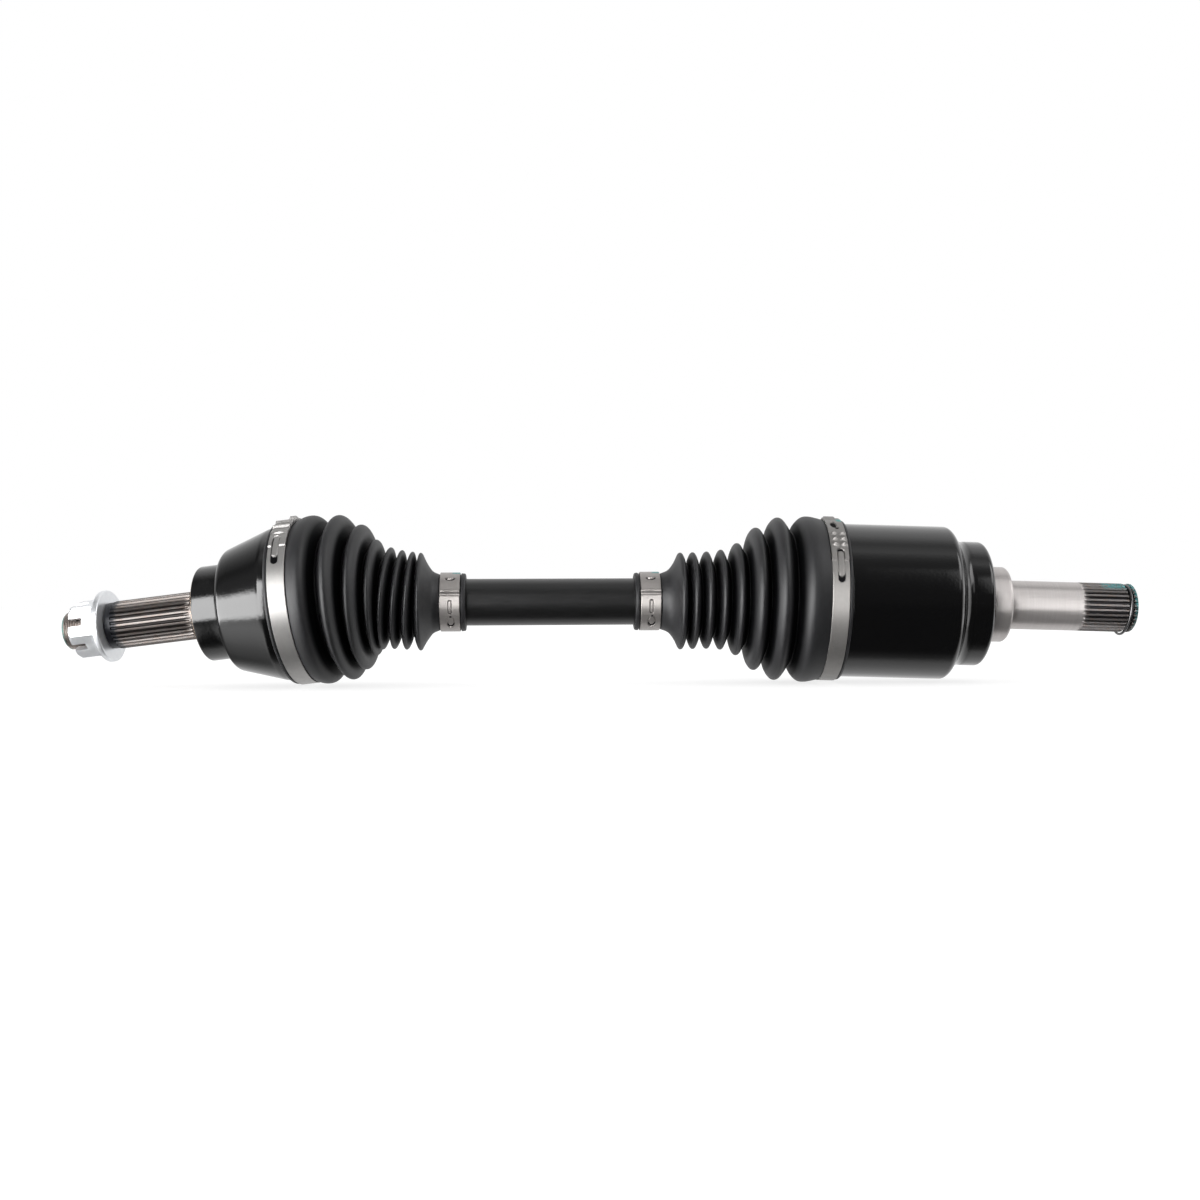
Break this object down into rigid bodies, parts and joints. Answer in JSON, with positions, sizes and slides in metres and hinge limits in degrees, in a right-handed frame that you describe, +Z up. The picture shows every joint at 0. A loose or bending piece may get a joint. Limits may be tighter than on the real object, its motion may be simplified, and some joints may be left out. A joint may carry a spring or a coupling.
{
  "type": "drive shaft",
  "caption": "Front-wheel drive shaft: a solid bar between two booted constant-velocity joints, with a splined threaded wheel stub, a castellated flange nut and a splined output stub.",
  "frame": {"origin": "centre of the bounding box in the rest pose; the bar's axis passes at y = +0.72 mm, z = -1.50 mm, parallel to X", "axes": "+X along the bar from the wheel (outboard) end to the gearbox (inboard) end, +Z up. At rest both joints are slightly articulated, as the shaft hangs: the wheel stub points down by 6.75 degrees and to +Y by 8 degrees, the output stub down by 1.83 degrees and to -Y by 1.5 degrees"},
  "size_m": [0.6278, 0.0996, 0.098],
  "materials": {
    "black_paint": "gloss black paint over forged steel; stubs and collar left bare, thin bronze edge at the hub shoulder",
    "bar_paint": "satin black paint",
    "boot_rubber": "satin charcoal moulded thermoplastic rubber",
    "band_steel": "bright stainless band",
    "zinc": "bright zinc plate",
    "bearing_steel": "ground and polished bearing steel",
    "spring_steel": "dark oiled spring steel",
    "turned_steel": "bare turned steel, fine circular tool marks"
  },
  "bodies": {
    "shaft": {"drive_bar": "bar_paint", "outboard_inner_race": "bearing_steel", "outboard_circlip": "spring_steel", "outboard_stop_ring": "spring_steel", "outboard_small_clamp": "band_steel", "inboard_inner_race": "bearing_steel", "inboard_circlip": "spring_steel", "inboard_stop_ring": "spring_steel", "inboard_small_clamp": "band_steel"},
    "outboard_ball_1": {"outboard_ball_1": "bearing_steel"},
    "outboard_cage": {"outboard_cage": "bearing_steel", "outboard_ball_2": "bearing_steel", "outboard_ball_3": "bearing_steel", "outboard_ball_5": "bearing_steel", "outboard_ball_6": "bearing_steel"},
    "outboard_ball_4": {"outboard_ball_4": "bearing_steel"},
    "bell": {"outboard_bell": "black_paint", "outboard_large_clamp": "band_steel", "outboard_boot": "boot_rubber"},
    "hub_nut": {"hub_nut": "zinc"},
    "inboard_ball_1": {"inboard_ball_1": "bearing_steel"},
    "inboard_cage": {"inboard_cage": "bearing_steel", "inboard_ball_2": "bearing_steel", "inboard_ball_3": "bearing_steel", "inboard_ball_5": "bearing_steel", "inboard_ball_6": "bearing_steel"},
    "inboard_ball_4": {"inboard_ball_4": "bearing_steel"},
    "inboard_boot": {"inboard_boot": "boot_rubber"},
    "housing": {"inboard_housing": "black_paint", "inboard_mouth_ring": "spring_steel", "inboard_large_clamp": "band_steel", "stub_snap_ring": "spring_steel"}
  },
  "joints": [
    {"name": "outboard_pitch_in", "type": "hinge", "parent": "shaft", "child": "outboard_ball_1", "pos_m": [-0.17926, 0.00072, -0.0015], "axis": [0, 1, 0], "range_deg": [-6.62, 13.38]},
    {"name": "outboard_yaw_in", "type": "hinge", "parent": "outboard_ball_1", "child": "outboard_cage", "pos_m": [-0.17926, 0.00072, -0.0015], "axis": [-0.0589, 0, 0.9983], "range_deg": [-16, 24]},
    {"name": "outboard_yaw_out", "type": "hinge", "parent": "outboard_cage", "child": "outboard_ball_4", "pos_m": [-0.17926, 0.00072, -0.0015], "axis": [-0.0589, 0, 0.9983], "range_deg": [-16, 24]},
    {"name": "outboard_pitch_out", "type": "hinge", "parent": "outboard_ball_4", "child": "bell", "pos_m": [-0.17926, 0.00072, -0.0015], "axis": [0.1389, 0.9903, 0.0082], "range_deg": [-6.62, 13.38], "deforming": ["outboard_boot"]},
    {"name": "hub_nut_turn", "type": "hinge", "parent": "bell", "child": "hub_nut", "pos_m": [-0.2953, 0.01711, -0.0153], "axis": [0.9834, -0.1389, 0.117], "continuous": true},
    {"name": "inboard_pitch_in", "type": "hinge", "parent": "shaft", "child": "inboard_ball_1", "pos_m": [0.14624, 0.00072, -0.0015], "axis": [0, 1, 0], "range_deg": [-7.92, 6.08]},
    {"name": "inboard_yaw_in", "type": "hinge", "parent": "inboard_ball_1", "child": "inboard_cage", "pos_m": [0.14624, 0.00072, -0.0015], "axis": [0.016, 0, 0.9999], "range_deg": [-6.25, 7.75]},
    {"name": "inboard_yaw_out", "type": "hinge", "parent": "inboard_cage", "child": "inboard_ball_4", "pos_m": [0.14624, 0.00072, -0.0015], "axis": [0.016, 0, 0.9999], "range_deg": [-6.25, 7.75]},
    {"name": "inboard_pitch_out", "type": "hinge", "parent": "inboard_ball_4", "child": "inboard_boot", "pos_m": [0.14624, 0.00072, -0.0015], "axis": [0.0262, 0.9997, -0.0004], "range_deg": [-7.92, 6.08], "deforming": ["inboard_boot"]},
    {"name": "plunge", "type": "slide", "parent": "inboard_boot", "child": "housing", "axis": [0.9991, -0.0262, -0.0319], "range_m": [-0.025, 0.003]}
  ],
  "couplings": [
    {"joint": "outboard_yaw_out", "follows": "outboard_yaw_in", "ratio": 1},
    {"joint": "inboard_yaw_out", "follows": "inboard_yaw_in", "ratio": 1},
    {"joint": "outboard_pitch_out", "follows": "outboard_pitch_in", "ratio": 1},
    {"joint": "inboard_pitch_out", "follows": "inboard_pitch_in", "ratio": 1}
  ]
}
